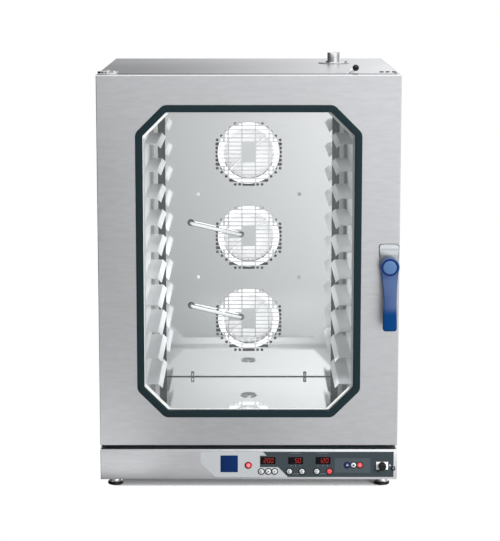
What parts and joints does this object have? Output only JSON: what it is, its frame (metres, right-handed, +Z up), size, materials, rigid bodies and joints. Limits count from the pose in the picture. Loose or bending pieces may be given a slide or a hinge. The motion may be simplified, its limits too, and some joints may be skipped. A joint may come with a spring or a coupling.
{
  "type": "combi steamer oven",
  "caption": "Steel combi steamer oven on feet: glazed door hung on the left with a lever latch, tray racks, fans behind a slotted panel, and controls below the door.",
  "frame": {"origin": "on the floor, under the middle of the whole box", "axes": "+Z up, front towards -Y, +X to the right as seen from the front"},
  "size_m": [0.8, 0.835, 1.152],
  "materials": {
    "brushed_steel": "brushed",
    "chamber_steel": "bright",
    "zinc_sheet": "zinc coated",
    "glass": "clear",
    "rubber": "matt",
    "seal_rubber": "matt",
    "black_plastic": "satin",
    "overlay_film": "printed film",
    "blue_plastic": "satin",
    "white_plastic": "satin",
    "red_plastic": "gloss",
    "mode_blue": "satin",
    "chrome": "polished",
    "mineral_wool": "fibrous",
    "motor_paint": "painted",
    "heater_metal": "heat tinted",
    "board_green": "lacquered",
    "brass": "plain"
  },
  "bodies": {
    "cabinet": {"foot_front_left": "black_plastic", "foot_front_right": "black_plastic", "foot_rear_left": "black_plastic", "foot_rear_right": "black_plastic", "base_pan": "zinc_sheet", "left_side_panel": "brushed_steel", "right_side_panel": "brushed_steel", "rear_panel": "brushed_steel", "top_panel": "brushed_steel", "front_frame": "brushed_steel", "upper_hinge": "brushed_steel", "lower_hinge": "brushed_steel", "door_seal": "seal_rubber", "water_valve": "brass", "chimney": "brushed_steel", "chamber_wrapper": "chamber_steel", "chamber_floor": "chamber_steel", "chamber_rear": "chamber_steel", "insulation_wrap": "mineral_wool", "drain_strainer": "chamber_steel", "rack_left": "chamber_steel", "rack_right": "chamber_steel", "fan_panel": "chamber_steel", "fan_motor_low": "motor_paint", "fan_motor_mid": "motor_paint", "fan_motor_top": "motor_paint", "heater_coil_low": "heater_metal", "heater_coil_mid": "heater_metal", "heater_coil_top": "heater_metal", "water_injector_low": "chamber_steel", "water_injector_mid": "chamber_steel", "control_fascia": "brushed_steel", "panel_overlay": "overlay_film", "control_board": "board_green", "power_lamp": "red_plastic", "probe_socket": "chrome"},
    "door": {"door_skin": "brushed_steel", "door_inner_pan": "chamber_steel", "window_gasket": "rubber", "outer_glass": "glass", "inner_glass": "glass", "handle_backplate": "chrome"},
    "handle": {"handle_lever": "blue_plastic", "latch_spindle": "chrome"},
    "fan_low": {"fan_wheel_low": "chamber_steel"},
    "fan_mid": {"fan_wheel_mid": "chamber_steel"},
    "fan_top": {"fan_wheel_top": "chamber_steel"},
    "damper": {"damper_shaft": "chrome", "damper_knob": "black_plastic"},
    "probe_cover": {"probe_cap": "black_plastic"},
    "key_1": {"button_1": "white_plastic"},
    "key_2": {"button_2": "white_plastic"},
    "key_3": {"button_3": "white_plastic"},
    "key_4": {"button_4": "white_plastic"},
    "key_5": {"button_5": "white_plastic"},
    "key_6": {"button_6": "white_plastic"},
    "key_7": {"button_7": "red_plastic"},
    "mode_key_1": {"mode_button_1": "mode_blue"},
    "mode_key_2": {"mode_button_2": "white_plastic"},
    "mode_key_3": {"mode_button_3": "red_plastic"}
  },
  "joints": [
    {"name": "door_swing", "type": "hinge", "parent": "cabinet", "child": "door", "pos_m": [-0.386, -0.3395, 0.623], "axis": [0, 0, -1], "range_deg": [0, 120]},
    {"name": "handle_turn", "type": "hinge", "parent": "door", "child": "handle", "pos_m": [0.372, -0.3575, 0.617], "axis": [0, 1, 0], "range_deg": [0, 90]},
    {"name": "fan_spin_low", "type": "hinge", "parent": "cabinet", "child": "fan_low", "pos_m": [0, 0.2625, 0.3722], "axis": [0, 1, 0], "continuous": true},
    {"name": "fan_spin_mid", "type": "hinge", "parent": "cabinet", "child": "fan_mid", "pos_m": [0, 0.2625, 0.617], "axis": [0, 1, 0], "continuous": true},
    {"name": "fan_spin_top", "type": "hinge", "parent": "cabinet", "child": "fan_top", "pos_m": [0, 0.2625, 0.8618], "axis": [0, 1, 0], "continuous": true},
    {"name": "damper_turn", "type": "hinge", "parent": "cabinet", "child": "damper", "pos_m": [0.246, 0.1625, 1.108], "axis": [0, 1, 0], "range_deg": [-90, 0]},
    {"name": "probe_cap_turn", "type": "hinge", "parent": "cabinet", "child": "probe_cover", "pos_m": [0.36, -0.3575, 0.069], "axis": [0, 1, 0], "range_deg": [0, 90]},
    {"name": "key_1_press", "type": "slide", "parent": "cabinet", "child": "key_1", "axis": [0, 1, 0], "range_m": [0, 0.0012], "stiffness_N_per_m": 800},
    {"name": "key_2_press", "type": "slide", "parent": "cabinet", "child": "key_2", "axis": [0, 1, 0], "range_m": [0, 0.0012], "stiffness_N_per_m": 800},
    {"name": "key_3_press", "type": "slide", "parent": "cabinet", "child": "key_3", "axis": [0, 1, 0], "range_m": [0, 0.0012], "stiffness_N_per_m": 800},
    {"name": "key_4_press", "type": "slide", "parent": "cabinet", "child": "key_4", "axis": [0, 1, 0], "range_m": [0, 0.0012], "stiffness_N_per_m": 800},
    {"name": "key_5_press", "type": "slide", "parent": "cabinet", "child": "key_5", "axis": [0, 1, 0], "range_m": [0, 0.0012], "stiffness_N_per_m": 800},
    {"name": "key_6_press", "type": "slide", "parent": "cabinet", "child": "key_6", "axis": [0, 1, 0], "range_m": [0, 0.0012], "stiffness_N_per_m": 800},
    {"name": "key_7_press", "type": "slide", "parent": "cabinet", "child": "key_7", "axis": [0, 1, 0], "range_m": [0, 0.0012], "stiffness_N_per_m": 800},
    {"name": "mode_key_1_press", "type": "slide", "parent": "cabinet", "child": "mode_key_1", "axis": [0, 1, 0], "range_m": [0, 0.0012], "stiffness_N_per_m": 800},
    {"name": "mode_key_2_press", "type": "slide", "parent": "cabinet", "child": "mode_key_2", "axis": [0, 1, 0], "range_m": [0, 0.0012], "stiffness_N_per_m": 800},
    {"name": "mode_key_3_press", "type": "slide", "parent": "cabinet", "child": "mode_key_3", "axis": [0, 1, 0], "range_m": [0, 0.0012], "stiffness_N_per_m": 800}
  ]
}
